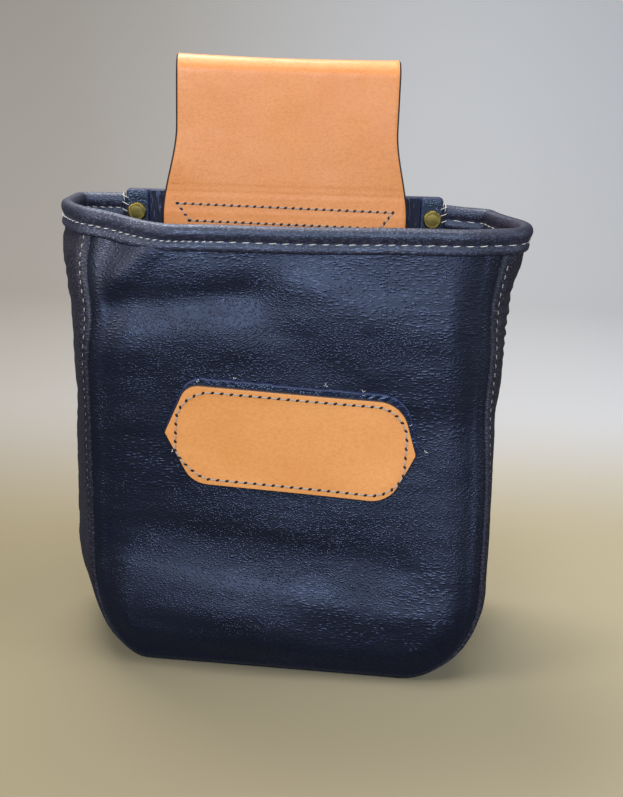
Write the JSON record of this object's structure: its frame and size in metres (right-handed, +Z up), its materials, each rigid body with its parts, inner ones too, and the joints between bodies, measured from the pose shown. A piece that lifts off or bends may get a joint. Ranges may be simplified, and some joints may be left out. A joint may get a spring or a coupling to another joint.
{
  "type": "drum stick bag",
  "caption": "Open-topped leather pouch with a bound rim, a riveted back plate, a wide fold-over belt loop and a stitched front patch.",
  "frame": {"origin": "centre of the footprint, on the surface that the bag stands on", "axes": "+Z up towards the mouth and the belt loop, +Y towards the back plate and the wearer, +X along the width; the front patch faces -Y"},
  "size_m": [0.226, 0.1142, 0.3027],
  "materials": {
    "navy_leather": "satin pebbled grain, very dark navy black",
    "chocolate_leather": "matte soft grain, dark chocolate",
    "tan_leather": "smooth vegetable tanned, tan, dark dyed edges",
    "suede": "rough suede, dark navy",
    "rivet_brass": "brushed antique brass",
    "waxed_thread": "waxed thread, off white"
  },
  "bodies": {
    "bag": {"front_panel": "navy_leather", "back_panel": "navy_leather", "gusset": "chocolate_leather", "rim_binding": "chocolate_leather", "back_plate": "navy_leather", "back_facing": "suede", "left_rivet_tab": "navy_leather", "right_rivet_tab": "navy_leather", "belt_loop_inner_foot": "tan_leather", "belt_loop_outer_foot": "tan_leather", "front_patch": "tan_leather", "patch_backing": "navy_leather", "left_rivet_cap": "rivet_brass", "left_rivet_post": "rivet_brass", "right_rivet_cap": "rivet_brass", "right_rivet_post": "rivet_brass", "rim_thread": "waxed_thread", "front_seam_thread": "waxed_thread", "back_seam_thread": "waxed_thread", "patch_thread": "waxed_thread", "loop_thread": "waxed_thread", "back_plate_thread": "waxed_thread", "left_binding_end_thread": "waxed_thread", "right_binding_end_thread": "waxed_thread"},
    "loop": {"belt_loop": "tan_leather"}
  },
  "joints": [
    {"name": "loop_flex", "type": "hinge", "parent": "bag", "child": "loop", "pos_m": [0, 0.04705, 0.235], "axis": [1, 0, 0], "range_deg": [-30, 20], "stiffness_Nm_per_rad": 1}
  ]
}
